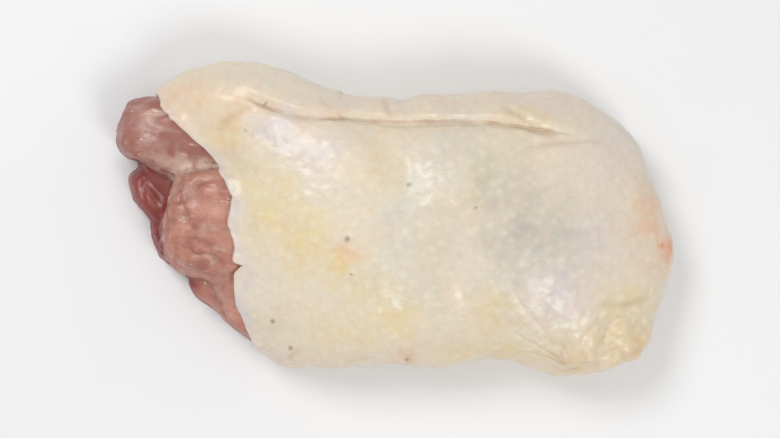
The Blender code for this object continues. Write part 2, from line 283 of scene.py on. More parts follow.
def noise(points, size, seed):
    """Smooth noise, about -1 to 1, whose bumps are about size across."""
    p = points / size
    cell = np.floor(p).astype(np.int64)
    f = p - cell
    ease = f**3 * (f * (f * 6 - 15) + 10)
    total = np.zeros(p.shape[:-1])
    for corner in itertools.product((0, 1), repeat=3):
        slope = np.stack([lattice(cell + corner, seed + 7 * k) for k in range(3)], axis=-1) * 2 - 1
        weight = np.prod(np.where(np.array(corner) == 1, ease, 1 - ease), axis=-1)
        total += weight * (slope * (f - corner)).sum(axis=-1)
    return total * 1.5


def layered(points, layers):
    """Noise of several sizes added up, each with a height, a size and a seed."""
    return sum(height * noise(points, size, seed) for height, size, seed in layers)


def smoothstep(value, low, high):
    """From 0 at low to 1 at high, easing in and out."""
    t = np.clip((value - low) / (high - low), 0, 1)
    return t * t * (3 - 2 * t)


def bell(value, width):
    """1 where a value is 0, falling smoothly away over a width."""
    return np.exp(-((value / width) ** 2))


def hump(x, y, at_x, at_y, wide, deep, height):
    """A smooth hump with a place, a radius along X and Y, and a height."""
    return height * np.exp(-(((x - at_x) / wide) ** 2) - ((y - at_y) / deep) ** 2)


def blobs(x, y, fields):
    """The strongest of some humps."""
    strongest = np.zeros(x.shape)
    for field in fields:
        strongest = np.maximum(strongest, hump(x, y, *field))
    return strongest


def in_plane(x, y=0.0):
    """Points in a plane, at which noise can be read."""
    return np.stack(np.broadcast_arrays(x, y, 0.0), axis=-1)


def smooth_line(line, steps=8):
    """More points on a smooth curve through the points of a line."""
    points = np.array(line, float)
    ends = np.concatenate([[2 * points[0] - points[1]], points, [2 * points[-1] - points[-2]]])
    t = np.linspace(0, 1, steps, endpoint=False)[:, None]
    curve = []
    for a, b, c, d in zip(ends[:-3], ends[1:-2], ends[2:-1], ends[3:], strict=True):
        cubic = (d - a) / 2 + 1.5 * (b - c)
        curve.append(b + t * ((c - a) / 2 + t * (a - 2.5 * b + 2 * c - d / 2 + t * cubic)))
    return np.concatenate([*curve, points[-1:]])


def distance_to_line(x, y, line):
    """How far points are from a line, seen from above, less than zero on its right-hand side,
    and how far along it they are, from 0 to 1."""
    nearest = np.full(x.shape, np.inf)
    along = np.zeros(x.shape)
    side = np.ones(x.shape)
    pieces = len(line) - 1
    for k, ((ax, ay), (bx, by)) in enumerate(zip(line[:-1], line[1:], strict=True)):
        dx, dy = bx - ax, by - ay
        t = np.clip(((x - ax) * dx + (y - ay) * dy) / (dx * dx + dy * dy), 0, 1)
        away = np.hypot(x - ax - t * dx, y - ay - t * dy)
        closer = away < nearest
        along = np.where(closer, (k + t) / pieces, along)
        side = np.where(closer, np.sign(dx * (y - ay) - dy * (x - ax)), side)
        nearest = np.minimum(nearest, away)
    return nearest * np.where(side == 0, 1, side), along


# The thigh's form


def round_the_circle(angles, values, at):
    """A smooth closed curve through values at angles in degrees, read at the angles of at."""
    order = np.argsort(angles)
    angles, values = np.asarray(angles, float)[order], np.asarray(values, float)[order]
    a = np.concatenate([angles[-2:] - 360.0, angles, angles[:2] + 360.0])
    v = np.concatenate([values[-2:], values, values[:2]])
    slope = np.gradient(v, a)
    at = np.mod(at, 360.0)
    i = np.clip(np.searchsorted(a, at, side="right") - 1, 0, len(a) - 2)
    span = a[i + 1] - a[i]
    t = (at - a[i]) / span
    rise = v[i + 1] - v[i]
    start, end = slope[i] * span, slope[i + 1] * span
    return v[i] + t * (start + t * (3 * rise - 2 * start - end + t * (start + end - 2 * rise)))


def outline_radius(direction):
    """How far the outline is from the pole, for directions in degrees."""
    from_pole = np.array(OUTLINE) - POLE
    angles = np.degrees(np.arctan2(from_pole[:, 1], from_pole[:, 0])) % 360.0
    return round_the_circle(angles, np.hypot(*from_pole.T), direction)


def hull(direction, turn, inset=0.0):
    """The thigh's smooth outer form. turn goes from 0 at the top, by 90 degrees at the outline,
    to 180 underneath. inset is how deep the point lies."""
    a, d = np.radians(turn), np.radians(direction)
    out = (outline_radius(direction) - inset) * np.sin(a)
    x = POLE[0] + out * np.cos(d)
    y = POLE[1] + out * np.sin(d)
    along = (x - POLE[0]) / HALF_LENGTH
    fall = np.where(along < 0, LEFT_FALL, RIGHT_FALL) * along**2
    cosine = np.cos(a)
    rise = (HEIGHT - WIDEST_AT) * (1 - fall) - inset
    drop = WIDEST_AT + PRESSED_FLAT - inset
    upper = WIDEST_AT + rise * np.abs(cosine) ** (2 / UPPER_POWER)
    lower = WIDEST_AT - drop * np.abs(cosine) ** (2 / LOWER_POWER)
    return np.stack([x, y, np.where(cosine > 0, upper, lower)], axis=-1)


def hull_normal(direction, turn):
    """The outward unit normal of the hull, away from its very top."""
    step = 0.25
    down = hull(direction, turn + step) - hull(direction, turn - step)
    round_it = hull(direction + step, turn) - hull(direction - step, turn)
    normal = np.cross(down, round_it)
    return normal / np.linalg.norm(normal, axis=-1, keepdims=True)


def pressed(z):
    """Heights with all that would be below the floor pressed flat on it."""
    return (z + np.sqrt(z * z + FLOOR_SOFTNESS * FLOOR_SOFTNESS)) / 2


# The skin


def skin_edge_turn(direction):
    """Where the skin ends, as a turn from the top, by direction."""
    reach = round_the_circle(*zip(*SKIN_REACH, strict=True), direction)
    share = 1 - np.abs(reach) / outline_radius(direction)
    short = np.degrees(np.arcsin(np.clip(share, 0, 1)))
    return np.where(reach < 0, short, 180 - short)


def unrolled():
    """For each direction, the turn at evenly spaced lengths along the surface from the top, the
    spacing of those lengths, and the length at which the skin ends."""
    count, spacing = 1440, 0.25
    directions = np.arange(count) * 360 / count
    s = np.linspace(-1, 1, 641)
    turns = 90 + np.where(s < 0, -90, 88) * np.abs(s) ** 1.7
    points = hull(directions[:, None], turns[None, :])
    steps = np.linalg.norm(np.diff(points, axis=1), axis=2)
    lengths = np.concatenate([np.zeros((len(directions), 1)), np.cumsum(steps, axis=1)], axis=1)
    even = np.arange(0, lengths.max(), spacing)
    turn_at = np.array([np.interp(even, row, turns) for row in lengths])
    edge = skin_edge_turn(directions)
    edge_length = np.array([np.interp(e, turns, row) for e, row in zip(edge, lengths, strict=True)])
    d = np.radians(directions)
    ring = in_plane(EDGE_RING * np.cos(d), EDGE_RING * np.sin(d))
    edge_length += layered(ring, EDGE_WAVES)
    edge_length -= NICK_DEPTH * bell(directions - NICK_AT, NICK_WIDTH)
    return turn_at, spacing, edge_length


def skin_places(count):
    """For a square grid of points that covers the skin evenly: direction, turn, place on the
    unrolled skin, and how far each point is from the skin's edge."""
    turn_at, spacing, edge_length = unrolled()
    rows = len(turn_at)
    angles = np.radians(np.arange(rows + 1) * 360 / rows)
    edge_length = np.append(edge_length, edge_length[0])
    edge = np.stack([edge_length * np.cos(angles), edge_length * np.sin(angles)], axis=1)
    walked = np.append(0, np.cumsum(np.linalg.norm(np.diff(edge, axis=0), axis=1)))
    u, v = np.meshgrid(*[np.linspace(-1, 1, count)] * 2, indexing="ij")
    across, up = u * np.sqrt(1 - v**2 / 2), v * np.sqrt(1 - u**2 / 2)
    share = np.hypot(across, up)
    round_edge = np.arctan2(up, across) % (2 * math.pi) / (2 * math.pi) * walked[-1]
    edge_x = np.interp(round_edge, walked, edge[:, 0])
    edge_y = np.interp(round_edge, walked, edge[:, 1])
    x, y = share * edge_x, share * edge_y
    direction = np.degrees(np.arctan2(y, x)) % 360
    row = direction / 360 * rows
    step = np.hypot(x, y) / spacing
    i, j = row.astype(int) % rows, np.minimum(step.astype(int), turn_at.shape[1] - 2)
    f, g = row % 1, step - j
    near = turn_at[i, j] * (1 - g) + turn_at[i, j + 1] * g
    k = (i + 1) % rows
    far = turn_at[k, j] * (1 - g) + turn_at[k, j + 1] * g
    to_edge = (1 - share) * np.hypot(edge_x, edge_y)
    flat = in_plane(x, y)
    return direction, near * (1 - f) + far * f, flat, to_edge


def drawn_skin(x, y):
    """Where the skin is drawn together: a place that runs across and along its wrinkles, and how
    strong they are."""
    dx, dy = x - DRAWN_TO[0], y - DRAWN_TO[1]
    out = np.hypot(dx, dy)
    turned = np.degrees(np.arctan2(dy, dx))
    place = in_plane(turned / DRAWN_ACROSS, out / DRAWN_ALONG)
    reach = DRAWN_LENGTH * (0.40 + 0.45 * bell(turned - DRAWN_FURTHEST, DRAWN_SPREAD))
    reach *= 1 + 0.6 * noise(place * (0.6, 0, 0), 1.0, 51)
    strong = smoothstep(turned, DRAWN_FROM, DRAWN_FROM + DRAWN_FADES[0])
    strong *= 1 - smoothstep(turned, DRAWN_UNTIL - DRAWN_FADES[1], DRAWN_UNTIL)
    strong *= smoothstep(out, 0.5, 5.0) * (1 - smoothstep(out, reach * 0.45, reach))
    return place, strong


def fold_profile(x, y):
    """How far in from the far edge's crease points are, and how strongly the fold is there."""
    line = smooth_line(FOLD_LINE)
    slope = np.gradient(line[:, 1], line[:, 0])
    past = (y - np.interp(x, line[:, 0], line[:, 1])) / np.hypot(1, np.interp(x, line[:, 0], slope))
    along = in_plane(x)
    past = past + 0.2 + 0.5 * noise(along, 7.0, 62) + 0.2 * noise(along, 3.0, 63)
    return past, smoothstep(x, -43, -35) * (1 - smoothstep(x, 36, 49))


def main_relief(points, facing_up):
    """How far skin and meat stand proud of the smooth form, from mounds, the fold and creases."""
    x, y = points[..., 0], points[..., 1]
    proud = sum(hump(x, y, *mound) for mound in MOUNDS)
    past, there = fold_profile(x, y)
    lip = smoothstep(past, 0.0, 2.0) * (1 - 0.55 * smoothstep(past, 3, 9))
    proud += there * (FOLD_SWELL * lip - FOLD_CREASE * bell(past, FOLD_CREASE_WIDTH))
    place, strong = drawn_skin(x, y)
    ridged = np.clip(1 - 3.2 * np.abs(noise(place, 2.0, 52)), 0, 1)
    proud += DRAWN_DEPTH * strong * (0.45 * noise(place, 2.6, 53) - ridged)
    for line, width, depth in CREASES:
        away, along = distance_to_line(x, y, smooth_line(line, 5))
        fading = np.sin(np.pi * np.clip(along * 0.94 + 0.03, 0, 1)) ** 0.7
        lips = bell(np.abs(away) - 2.0 * width, width)
        fading = fading * smoothstep(facing_up, 0.05, 0.45)
        proud -= depth * fading * (bell(away, width) - 0.35 * lips)
    return proud * np.clip(facing_up * 2 + 0.6, 0, 1)


def follicles(flat):
    """How near each point is to a feather follicle, from 0 to 1, on a slightly uneven lattice."""
    bent = flat + FOLLICLE_BEND * in_plane(noise(flat, 26.0, 71), noise(flat, 26.0, 72))
    turned = math.radians(FOLLICLE_ROWS_TURNED)
    across = bent[..., 0] * math.cos(turned) + bent[..., 1] * math.sin(turned)
    along = bent[..., 1] * math.cos(turned) - bent[..., 0] * math.sin(turned)
    p = np.stack([across, along], axis=-1) / FOLLICLE_SPACING
    row = np.floor(p[..., 1])
    nearest = np.zeros(row.shape)
    for dy in (-1, 0, 1):
        line = row + dy
        shift = np.mod(line, 2) / 2
        column = np.floor(p[..., 0] - shift)
        for dx in (-1, 0, 1):
            cell = in_plane(column + dx, line).astype(np.int64)
            at_x = cell[..., 0] + shift + 0.5 + FOLLICLE_SCATTER * (lattice(cell, 3) - 0.5)
            at_y = cell[..., 1] + 0.5 + FOLLICLE_SCATTER * (lattice(cell, 4) - 0.5)
            away = np.hypot(p[..., 0] - at_x, p[..., 1] - at_y) * FOLLICLE_SPACING
            size = FOLLICLE_RADIUS * (0.75 + 0.5 * lattice(cell, 5))
            tall = 0.35 + 0.65 * lattice(cell, 6)
            nearest = np.maximum(nearest, bell(away, size) * tall)
    return nearest


def lobed(points):
    """Rounded lumps with creases between them, 0 in the creases."""
    return np.abs(noise(points, 6.5, 6)) + 0.5 * np.abs(noise(points, 3.4, 7))


def fine_relief(points, normal, flat, to_edge, pimples):
    """How far the skin stands proud from its own unevenness: sag, wrinkles, pimples and lumps."""
    x, y = points[..., 0], points[..., 1]
    side = 1 - smoothstep(np.abs(normal[..., 2]), 0.35, 0.9)
    proud = layered(flat, SAG)
    proud += 0.6 * side * noise(points * (1.0, 1.0, 0.35), 7.0, 5)
    proud += side * (1.0 * noise(points, 17.0, 14) + 0.45 * noise(points * (0.5, 0.5, 1.3), 8.0, 15))
    lumps = blobs(x, y, FAT_LUMPS)
    proud += lumps * (2.6 * lobed(points) - 0.5)
    pimpled = 0.5 + 0.5 * noise(flat, 22.0, 8)
    proud += FOLLICLE_HEIGHT * pimpled * pimples * (1 - 0.6 * lumps)
    proud += 0.6 * bell(to_edge, 2.0) * noise(flat, 5.0, 9)
    return proud


def quads_of_grid(count):
    """The faces of a square grid of points, by their indices."""
    index = np.arange(count * count).reshape(count, count)
    corners = [index[:-1, :-1], index[1:, :-1], index[1:, 1:], index[:-1, 1:]]
    return np.stack(corners, axis=-1).reshape(-1, 4)


def vertex_normals(points, quads):
    """The outward unit normal at each point of a grid."""
    a, b, c, d = (points[quads[:, k]] for k in range(4))
    across = np.cross(c - a, d - b)
    normal = np.zeros(points.shape)
    for k in range(4):
        np.add.at(normal, quads[:, k], across)
    return normal / np.maximum(np.linalg.norm(normal, axis=1, keepdims=True), 1e-12)


def rim_of_grid(count):
    """The indices round the edge of a square grid, in order, and of a point further in for each."""
    last = count - 1
    rim = [(i, 0) for i in range(last)] + [(last, j) for j in range(last)]
    rim += [(i, last) for i in range(last, 0, -1)] + [(0, j) for j in range(last, 0, -1)]
    rim = np.array(rim)
    inside = np.clip(rim, 2, last - 2)
    return rim @ (count, 1), inside @ (count, 1)


def drape(points, normal, flat, to_edge, meat):
    """Lays the skin near its left edge on the meat, and keeps it clear of the meat beside it."""
    draped_until, look_below = -14, 16
    upwards = smoothstep(normal[..., 2:], 0.40, 0.80)
    away = normal * (1 - upwards) + np.array((0.0, 0.0, 1.0)) * upwards
    away /= np.linalg.norm(away, axis=-1, keepdims=True)
    reach = 5 + 35 * upwards[..., 0]
    height = np.full(points.shape[:2], np.nan)
    for i, j in zip(*np.nonzero(points[..., 0] < draped_until), strict=True):
        direction, above = Vector(away[i, j]), float(reach[i, j])
        start = Vector(points[i, j]) + above * direction
        hit, facing, _, distance = meat.ray_cast(start, -direction, above + look_below)
        if hit is not None and facing.dot(direction) > 0:
            height[i, j] = above - distance
    found = np.isfinite(height)
    wanted = np.where(found, height, 0) + SKIN_THICKNESS + 0.25
    lying = smoothstep(-to_edge, -DRAPE_WIDTH, -1.0) * smoothstep(-points[..., 0], 22, 34)
    lying *= found * smoothstep(normal[..., 2], 0.3, 0.7)
    change = softened(lying * wanted, flat, 30)
    more = np.where(found, np.clip(wanted - change, 0, 6), 0)
    change = change + np.maximum(softened(more, flat, 12), more)
    return points + away * change[..., None]


def blurred(values, times):
    """A grid of values, each mixed with those beside it, some times over."""
    for _ in range(times):
        padded = np.pad(values, 1, mode="edge")
        beside = padded[:-2, 1:-1] + padded[2:, 1:-1] + padded[1:-1, :-2] + padded[1:-1, 2:]
        values = (beside + 4 * values) / 8
    return values


def softened(values, flat, times):
    """Values softened evenly over the unrolled skin, however unevenly its points are spaced."""
    x, y = flat[..., 0], flat[..., 1]
    (x_down, x_across), (y_down, y_across) = np.gradient(x), np.gradient(y)
    area = np.abs(x_down * y_across - x_across * y_down)
    low = flat[..., :2].min(axis=(0, 1)) - 5 * SOFT_CELL
    place = (flat[..., :2] - low) / SOFT_CELL
    cell = place.astype(int)
    f, g = (place - cell)[..., 0], (place - cell)[..., 1]
    shares = ((0, 0, (1 - f) * (1 - g)), (1, 0, f * (1 - g)), (0, 1, (1 - f) * g), (1, 1, f * g))
    total = np.zeros(cell.max(axis=(0, 1)) + 7)
    weight = np.zeros(total.shape)
    for i, j, share in shares:
        np.add.at(total, (cell[..., 0] + i, cell[..., 1] + j), values * share * area)
        np.add.at(weight, (cell[..., 0] + i, cell[..., 1] + j), share * area)
    even = blurred(total, times) / np.maximum(blurred(weight, times), 1e-9)
    return sum(share * even[cell[..., 0] + i, cell[..., 1] + j] for i, j, share in shares)


def skin_fields(points, facing_up, flat, to_edge, pimples, direction):
    """The skin's fields of colour, each from 0 to 1 for each point."""
    own_x, own_y = points[..., 0], points[..., 1]
    x = own_x + layered(flat, ((4.0, 9.0, 21), (1.5, 3.5, 23)))
    y = own_y + layered(flat, ((4.0, 9.0, 22), (1.5, 3.5, 24)))
    upper = smoothstep(facing_up, 0.05, 0.35)
    not_under = smoothstep(facing_up, -0.45, -0.15)
    band, _ = distance_to_line(x, y, smooth_line(PALE_BAND, 5))
    spots = np.zeros(x.shape)
    for at_x, at_y, radius in SPOTS:
        away = np.hypot(own_x - at_x, own_y - at_y)
        spots = np.maximum(spots, 1 - smoothstep(away, radius * 0.35, radius * 1.1))
    aside, there = fold_profile(own_x, own_y)
    broken = np.clip(0.75 + 0.9 * noise(in_plane(own_x), 6.0, 61), 0.15, 1)
    # Painted shade along the creases and between the fat lumps, where the relief sinks in
    crease = np.zeros(x.shape)
    for line, width, depth in CREASES:
        away, along = distance_to_line(own_x, own_y, smooth_line(line, 5))
        here = min(1.6 * depth, 1) * np.sin(np.pi * np.clip(along, 0, 1)) ** 0.5
        crease = np.maximum(crease, here * bell(away, 0.8 * width))
    lumps = blobs(x, y, FAT_LUMPS)
    crease = np.maximum(crease, 0.8 * lumps * (1 - smoothstep(lobed(points), 0.02, 0.16)))
    drawn_place, drawn = drawn_skin(own_x, own_y)
    at_left = smoothstep(-np.abs(direction - LEFT), -42, -26)
    at_left *= np.clip(0.5 + 0.9 * noise(flat, 8.0, 64), 0, 1)
    return {
        "yellow": blobs(x, y, YELLOW_FAT),
        "grey": blobs(x, y, GREY_MEAT),
        "green": blobs(x, y, GREEN_MEAT),
        "pale": bell(band, PALE_WIDTH) * upper * smoothstep(y, *PALE_FADES),
        "lavender": np.maximum(blobs(x, y, LAVENDER), at_left * bell(to_edge, 3.0)),
        "peach": blobs(x, y, PEACH),
        "orange": blobs(x, y, ORANGE) * upper,
        "lumps": lumps,
        "spots": spots * upper,
        "crease": crease * upper,
        # Painted shade: a tan band round the fold's crease, which also sets the strength of its painted
        # line
        "fold": there * broken * bell(aside, 4) * not_under,
        "fold_side": aside,
        "drawn": drawn * not_under,
        "drawn_across": drawn_place[..., 0],
        "drawn_along": drawn_place[..., 1],
        "pimples": pimples,
    }


def shaped_skin(count, meat_tree):
    """The skin's outer face, a square grid of points, and its fields of colour."""
    direction, turn, flat, to_edge = skin_places(count)
    points = hull(direction, turn)
    normal = hull_normal(direction, turn)
    pimples = follicles(flat)
    proud = main_relief(points, normal[..., 2]) + fine_relief(points, normal, flat, to_edge, pimples)
    points = points + normal * proud[..., None]
    points = drape(points, normal, flat, to_edge, meat_tree)
    points[..., 2] = pressed(points[..., 2])
    return points, skin_fields(points, normal[..., 2], flat, to_edge, pimples, direction)


def rolled_rim(outer, normals, rim, inside):
    """Rows of points that turn in round the skin's edge by half a circle."""
    out = outer[rim] - outer[inside]
    out -= normals[rim] * (out * normals[rim]).sum(axis=1, keepdims=True)
    out /= np.maximum(np.linalg.norm(out, axis=1, keepdims=True), 1e-9)
    half = SKIN_THICKNESS / 2
    rows = []
    for k in range(1, RIM_ROWS):
        bend = math.pi * k / RIM_ROWS
        rows.append(outer[rim] + half * (math.sin(bend) * out - (1 - math.cos(bend)) * normals[rim]))
    return rows


def joining_faces(fine_rim, coarse_rim):
    """Faces between a fine ring of points and a coarse one, by their indices."""
    half_way = FINE_PER_COARSE // 2
    faces = []
    for c in range(len(coarse_rim)):
        here, following = coarse_rim[c], coarse_rim[(c + 1) % len(coarse_rim)]
        steps = [fine_rim[(c * FINE_PER_COARSE + s) % len(fine_rim)] for s in range(FINE_PER_COARSE + 1)]
        for s in range(FINE_PER_COARSE):
            faces.append((steps[s + 1], steps[s], here if s <= half_way else following))
        faces.append((steps[half_way + 1], here, following))
    return faces


def skin_sheet(meat_tree):
    """Points, faces and fields of colour of the skin, a closed sheet with a rounded edge."""
    count = COARSE_CELLS * FINE_PER_COARSE + 1
    points, fields = shaped_skin(count, meat_tree)
    outer = points.reshape(-1, 3)
    quads = quads_of_grid(count)
    normals = vertex_normals(outer, quads)
    rim, inside = rim_of_grid(count)
    normals[rim] = normals[inside]
    rows = rolled_rim(outer, normals, rim, inside)
    coarse = np.arange(0, count, FINE_PER_COARSE)
    coarse_index = (coarse[:, None] * count + coarse[None, :]).reshape(-1)
    inner = outer[coarse_index] - SKIN_THICKNESS * normals[coarse_index]

    faces = quads.tolist()
    previous = rim
    first = len(outer)
    for _ in rows:
        now = first + np.arange(len(rim))
        faces += np.stack([np.roll(previous, -1), previous, now, np.roll(now, -1)], axis=-1).tolist()
        previous, first = now, first + len(rim)
    faces += (quads_of_grid(len(coarse))[:, ::-1] + first).tolist()
    faces += joining_faces(previous, rim_of_grid(len(coarse))[0] + first)

    full = {}
    for name, values in fields.items():
        values = values.reshape(-1)
        full[name] = np.concatenate([values, *[values[rim]] * len(rows), values[coarse_index]])
    turned_in = np.repeat(np.arange(1, RIM_ROWS) / RIM_ROWS, len(rim))
    full["inside"] = np.concatenate([np.zeros(len(outer)), turned_in, np.ones(len(inner))])
    return np.concatenate([outer, *rows, inner]), faces, full


# The meat


def core_mesh():
    """The meat under the skin, as points and faces."""
    segments, rings = 180, 60
    direction = np.arange(segments) * 360 / segments
    turn = np.linspace(0, 180, rings + 1)[1:-1]
    d, t = np.meshgrid(direction, turn)
    surface, normal = hull(d, t), hull_normal(d, t)
    x, y = surface[..., 0], surface[..., 1]
    past_edge = smoothstep(-x, 44, 58)
    away, _ = distance_to_line(x, y, MEAT_GROOVE)
    depth = MEAT_BELOW_SKIN + 2.2 * past_edge + GROOVE_DEPTH * bell(away, GROOVE_WIDTH)
    points = hull(d, t, depth) + normal * main_relief(surface, normal[..., 2])[..., None]
    ends = hull(np.zeros(2), np.array([0.0, 180.0]), np.full(2, MEAT_BELOW_SKIN + 0.5))
    top, bottom = points.size // 3, points.size // 3 + 1
    rings = len(turn)
    faces = []
    for s in range(segments):
        n = (s + 1) % segments
        faces.append((top, s, n))
        for r in range(rings - 1):
            a, b = r * segments, (r + 1) * segments
            faces.append((a + s, b + s, b + n, a + n))
        last = (rings - 1) * segments
        faces.append((last + s, bottom, last + n))
    return np.concatenate([points.reshape(-1, 3), ends]), faces


def muscle_frame(muscle):
    """The matrix from a muscle's own axes, in millimetres from its centre, to the thigh's."""
    centre, _, turned, tilted, _ = muscle
    return (
        Matrix.Translation(centre)
        @ Matrix.Rotation(math.radians(turned), 4, "Z")
        @ Matrix.Rotation(math.radians(tilted), 4, "Y")
    )


def muscle_mesh(muscle):
    """One muscle's belly, as points and faces."""
    half_sizes, thicker = muscle[1], muscle[4]
    power = SHOWN_MUSCLE_POWER if muscle in END_MUSCLES[:2] else MUSCLE_POWER
    form = bmesh.new()
    bmesh.ops.create_uvsphere(form, u_segments=72, v_segments=48, radius=1)
    bmesh.ops.rotate(form, matrix=Matrix.Rotation(math.pi / 2, 3, "Y"), verts=form.verts)
    for vert in form.verts:
        co = vert.co
        co /= sum(abs(c) ** power for c in co) ** (1 / power)
        wider = 1 + thicker * co.x
        vert.co = (co.x, co.y * wider, co.z * wider)
    to_thigh = muscle_frame(muscle) @ Matrix.Diagonal((*half_sizes, 1))
    bmesh.ops.transform(form, matrix=to_thigh, verts=form.verts)
    form.normal_update()
    points = np.array([v.co[:] for v in form.verts])
    outward = np.array([v.normal[:] for v in form.verts])
    faces = [[v.index for v in f.verts] for f in form.faces]
    form.free()
    points += outward * layered(points, MUSCLE_LUMPS)[:, None]
    return points, faces


def in_muscle(points, muscle):
    """Points in a muscle's own axes, and how far they are outside its surface."""
    _, half_sizes, _, _, thicker = muscle
    inverse = np.array(muscle_frame(muscle).inverted())
    own = points @ inverse[:3, :3].T + inverse[:3, 3]
    unit = own / half_sizes
    wider = 1 + thicker * np.clip(unit[:, 0], -1, 1)
    unit[:, 1:] /= wider[:, None]
    size = (np.abs(unit) ** MUSCLE_POWER).sum(axis=1) ** (1 / MUSCLE_POWER)
    return own, (size - 1) * min(half_sizes)


def new_object(name, data, place=(0, 0, 0)):
    made = bpy.data.objects.new(name, data)
    made.location = Vector(place) * MM
    bpy.context.scene.collection.objects.link(made)
    return made


def new_mesh(name, points, faces):
    """A smooth-shaded object from points in millimetres."""
    mesh = bpy.data.meshes.new(name)
    mesh.from_pydata((points * MM).tolist(), [], faces)
    mesh.validate()
    mesh.shade_smooth()
    return new_object(name, mesh)


def each_point(mesh, what):
    """The place or the normal that a mesh has for each of its points."""
    flat = np.empty(len(mesh.vertices) * 3)
    mesh.vertices.foreach_get(what, flat)
    return flat.reshape(-1, 3)


def points_of(mesh):
    """A mesh's points in millimetres."""
    return each_point(mesh, "co") / MM


def applied(obj):
    """The object's mesh with its modifiers applied."""
    graph = bpy.context.evaluated_depsgraph_get()
    mesh = bpy.data.meshes.new_from_object(obj.evaluated_get(graph))
    obj.modifiers.clear()
    old, obj.data = obj.data, mesh
    bpy.data.meshes.remove(old)
    return obj


def joined_muscles():
    """All the meat as one body: the parts joined, remeshed evenly and rounded where they meet."""
    points, faces = core_mesh()
    for muscle in END_MUSCLES + UNDER_MUSCLES:
        more, more_faces = muscle_mesh(muscle)
        faces += [[i + len(points) for i in face] for face in more_faces]
        points = np.concatenate([points, more])
    points[:, 2] = np.maximum(points[:, 2], -2.0)
    meat = new_mesh("chicken_meat", points, faces)
    even = meat.modifiers.new("even", "REMESH")
    even.mode = "VOXEL"
    even.voxel_size = MEAT_VOXEL * MM
    even.use_smooth_shade = True
    rounded = meat.modifiers.new("rounded", "SMOOTH")
    rounded.factor = 0.5
    rounded.iterations = MEAT_ROUNDING
    return applied(meat)


def grain_of(points):
    """For points on the meat: place along and across the muscle's grain, the seam's nearness
    between two muscles, and which muscle it is."""
    own_places, outside = zip(*[in_muscle(points, m) for m in END_MUSCLES + UNDER_MUSCLES], strict=True)
    own_places = np.array([*own_places, points])
    outside = np.array([*outside, np.full(len(points), OUTSIDE_CORE)])
    order = np.argsort(outside, axis=0)
    which = order[0]
    column = np.arange(len(points))
    grain = own_places[which, column]
    gap = outside[order[1], column] - outside[which, column]
    return grain, bell(gap, SEAM_WIDTH), which


def meat_relief(points, grain, seam, which):
    """How far the meat stands proud, and where its fine grooves are."""
    shift = which[:, None] * 17.0
    groove = np.clip(1 - 4.0 * np.abs(noise(grain * (0.12, 1.0, 1.0) + shift, 5.5, 47)), 0, 1)
    groove *= np.clip(0.5 + 1.4 * noise(grain + shift, 12.0, 48), 0, 1)
    proud = np.zeros(len(points))
    for height, drawn, size, seed in GRAIN:
        proud += height * noise(grain * (drawn, 1.0, 1.0) + shift, size, seed)
    return proud + 0.22 * noise(points, 4.0, 43) - 0.30 * seam - 0.6 * groove, groove


def bloody(points, grain, which, torn):
    """Where the meat is dark red: along the gash, at the muscles' torn ends and on the strand."""
    x, y, z = points.T
    dark_end = distance_to_line(x, y, smooth_line(DARK_END))[0]
    end = 1 - smoothstep(grain[:, 0], -19.5, -15.0)
    parts = (
        torn,
        np.where(which == LOW_MUSCLE, 1 - smoothstep(x, -56, -50), 0),
        (which == MIDDLE_MUSCLE) * end * (1 - smoothstep(z, 13, 19)),
        0.75 * (which == TORN_STRAND),
        bell(dark_end, 2.0) * (z < 14),
    )
    return np.max(parts, axis=0)


def make_meat():
    """The meat's mesh, with its grain in relief."""
    meat = joined_muscles()
    points, normals = points_of(meat.data), each_point(meat.data, "normal")
    grain, seam, which = grain_of(points)
    proud, groove = meat_relief(points, grain, seam, which)
    gash = distance_to_line(points[:, 0], points[:, 1], smooth_line(GASH))[0]
    torn = bell(gash, GASH_WIDTH) * (1 - smoothstep(points[:, 2], 15, 20))
    proud -= GASH_DEPTH * torn
    points = points + normals * proud[:, None]
    points[:, 2] = pressed(points[:, 2] - MEAT_ABOVE_FLOOR) + MEAT_ABOVE_FLOOR
    meat.data.vertices.foreach_set("co", (points * MM).reshape(-1))
    x, y, z = points.T
    membrane = distance_to_line(x, y, smooth_line(MEMBRANE))[0]
    add_fields(meat, {
        "seam": seam,
        "gash": bloody(points, grain, which, torn),
        "membrane": bell(membrane, MEMBRANE_WIDTH),
        # The upper muscle, to be darkened all over as painted shade
        "upper": which == UPPER_MUSCLE,
        "groove": groove,
        # Painted shade: darker towards the floor and on the lower flaps
        "low": np.maximum(1 - smoothstep(z, 5, 18), blobs(x, y, PAINTED_MEAT_SHADE)),
        "grain": grain * MM,
    })
    meat.data.update()
    return meat


def add_fields(obj, fields):
    """Keeps numbers or places for each point under their names, for the material to read."""
    for name, values in fields.items():
        kind, slot = ("FLOAT", "value") if values.ndim == 1 else ("FLOAT_VECTOR", "vector")
        made = obj.data.attributes.new(name, kind, "POINT")
        made.data.foreach_set(slot, values.astype(np.float32).reshape(-1))


def make_skin(meat):
    """The skin's mesh, laid on the meat's."""
    meat_faces = [list(face.vertices) for face in meat.data.polygons]
    tree = BVHTree.FromPolygons([Vector(p) for p in points_of(meat.data)], meat_faces)
    points, faces, fields = skin_sheet(tree)
    skin = new_mesh("chicken_skin", points, faces)
    add_fields(skin, fields)
    return skin


# Materials


